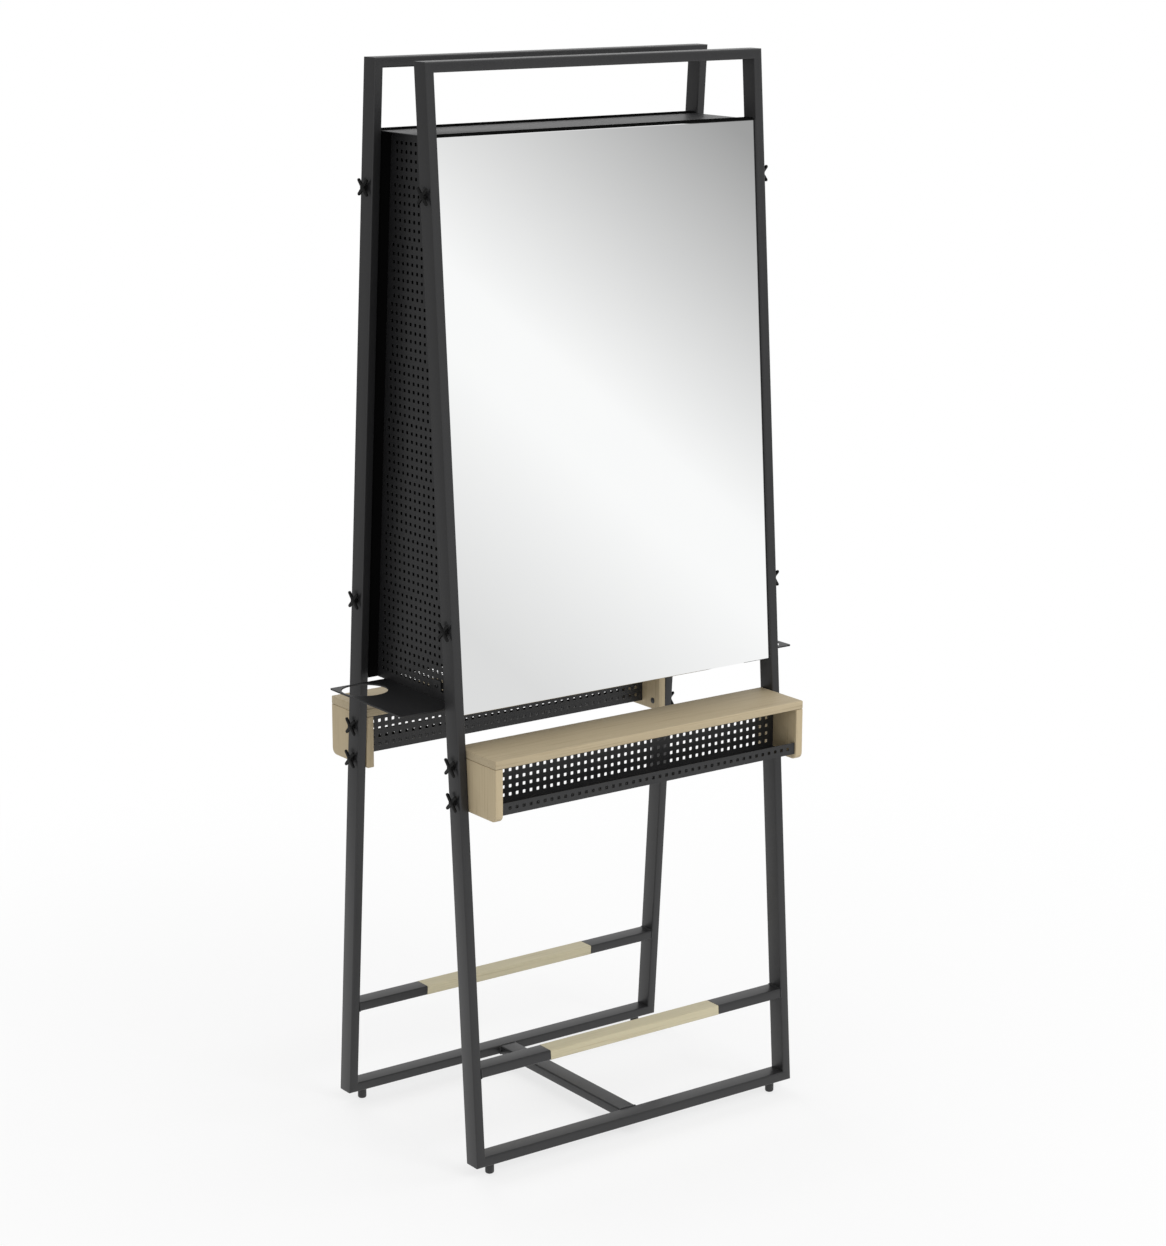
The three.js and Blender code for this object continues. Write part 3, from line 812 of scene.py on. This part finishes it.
def seen_by(wire):
    """The light path's outputs as wires: 1 on rays from the camera, off a gloss or through a clear piece."""
    outputs = wire.node("ShaderNodeLightPath").socket.node.outputs
    names = ("Is Camera Ray", "Is Glossy Ray", "Is Transmission Ray")
    return [Wire(wire.tree, outputs[name]) for name in names]


floor_paint = bpy.data.materials.new("pale floor")
floor_paint.use_nodes = True
floor_place = Wire(floor_paint.node_tree).node("ShaderNodeTexCoord", output=3)
from_camera, off_gloss, through_clear = seen_by(floor_place)
seen = floor_place.maths("MAXIMUM", floor_place.maths("MAXIMUM", from_camera, off_gloss), through_clear)
from_centre = floor_place.node("ShaderNodeVectorMath", {"operation": "LENGTH"}, {0: floor_place}, 1)
fade = from_centre.node("ShaderNodeMapRange", None, {"Value": from_centre, "From Min": 0.6, "From Max": 2.6,
                                                     "To Min": 0.7, "To Max": 1.0})
matt = floor_place.node("ShaderNodeBsdfDiffuse", None, {"Color": (0.86, 0.86, 0.86, 1)})
glow = floor_place.node("ShaderNodeEmission", None, {"Color": (1, 1, 1, 1), "Strength": 1.0})
mixed = floor_place.node("ShaderNodeMixShader", None, {0: seen * fade, 1: matt, 2: glow})
clear = floor_place.node("ShaderNodeBsdfTransparent")
edge_fade = from_centre.node("ShaderNodeMapRange", {"interpolation_type": "SMOOTHSTEP"},
                             {"Value": from_centre, "From Min": 1.4, "From Max": floor_half})
faded = floor_place.node("ShaderNodeMixShader", None, {0: edge_fade, 1: mixed, 2: clear})
floor_place.feed(floor_paint.node_tree.nodes["Material Output"].inputs["Surface"], faded)
floor_mesh.materials.append(floor_paint)

world = bpy.data.worlds.new("studio")
bpy.context.scene.world = world
world.use_nodes = True
direction = Wire(world.node_tree).node("ShaderNodeTexCoord", output=0)
sky_camera, sky_gloss, sky_clear = seen_by(direction)
band_heading = math.radians(36.0)
band_axis = np.array([math.cos(band_heading), math.sin(band_heading), 1.0]) * math.sqrt(0.5)
across_band = direction.node("ShaderNodeVectorMath", {"operation": "DOT_PRODUCT"},
                             {0: direction, 1: band_axis.tolist()}, 1)
band_reach = 0.5
band_stops = ((-0.44, 0.80), (-0.125, 0.75), (-0.06, 1.0), (-0.04, 1.0), (0.055, 0.36), (0.10, 0.30),
              (0.40, 0.80))
band = across_band.node("ShaderNodeValToRGB",
                        {"stops": [((s / band_reach + 1) / 2, (v, v, v, 1)) for s, v in band_stops]},
                        {"Fac": across_band * (0.5 / band_reach) + 0.5})
dim_heading = (-0.59, 0.81, 0.0)
towards_dim = direction.node("ShaderNodeVectorMath", {"operation": "DOT_PRODUCT"},
                             {0: direction, 1: dim_heading}, 1)
dim = towards_dim.node("ShaderNodeMapRange", {"interpolation_type": "SMOOTHSTEP"},
                       {"Value": towards_dim, "From Min": 0.35, "From Max": 0.95, "To Max": 0.55})
studio = dim.tint(band, (0.12, 0.12, 0.12, 1))
reflected = sky_gloss.tint((0.75, 0.75, 0.75, 1), studio)
white = direction.maths("MAXIMUM", sky_camera, sky_clear)
direction.feed(world.node_tree.nodes["Background"].inputs["Color"], white.tint(reflected, (1, 1, 1, 1)))


def aimed(right, up, back, place):
    """A matrix whose columns are an object's own x, y and z axes and its place."""
    return Matrix(np.vstack([np.stack([right, up, back, place], -1), [0, 0, 0, 1]]).tolist())


lamp_size = 2.4
lamp_target = np.array([0.0, 0.0, 1.0])


def lamp(name, place, watts):
    """A square soft lamp that faces the middle of the station and doesn't show in the mirrors."""
    data = bpy.data.lights.new(name, "AREA")
    data.size = lamp_size
    data.energy = watts
    made = bpy.data.objects.new(name, data)
    bpy.context.scene.collection.objects.link(made)
    back = np.array(place) - lamp_target
    back = back / np.linalg.norm(back)
    right = np.cross([0.0, 0.0, 1.0], back)
    right = right / np.linalg.norm(right)
    made.matrix_world = aimed(right, np.cross(back, right), back, place)
    made.visible_glossy = False


lamp("key lamp", (0.6, -4.6, 4.2), 95.0)
lamp("fill lamp", (4.2, -2.2, 2.6), 35.0)
lamp("rim lamp", (0.5, 4.5, 3.8), 60.0)

camera_place = (-3.5381, -4.9049, 2.5116)
azimuth = math.radians(-36.115)
elevation = math.radians(13.830)
roll = math.radians(0.1415)
photo_height = 1246
focal_pixels = 3069.6
camera_back = np.array([math.sin(azimuth) * math.cos(elevation), -math.cos(azimuth) * math.cos(elevation),
                        math.sin(elevation)])
level = np.array([math.cos(azimuth), math.sin(azimuth), 0.0])
plumb = np.cross(camera_back, level)
camera_right = math.cos(roll) * level + math.sin(roll) * plumb
camera_up = math.cos(roll) * plumb - math.sin(roll) * level
camera_data = bpy.data.cameras.new("photo camera")
camera_data.sensor_width = 36.0
camera_data.lens = focal_pixels / photo_height * camera_data.sensor_width
camera_data.clip_end = 200.0
camera = bpy.data.objects.new("photo camera", camera_data)
bpy.context.scene.collection.objects.link(camera)
camera.matrix_world = aimed(camera_right, camera_up, camera_back, camera_place)
bpy.context.scene.camera = camera
bpy.context.scene.view_settings.view_transform = "Standard"
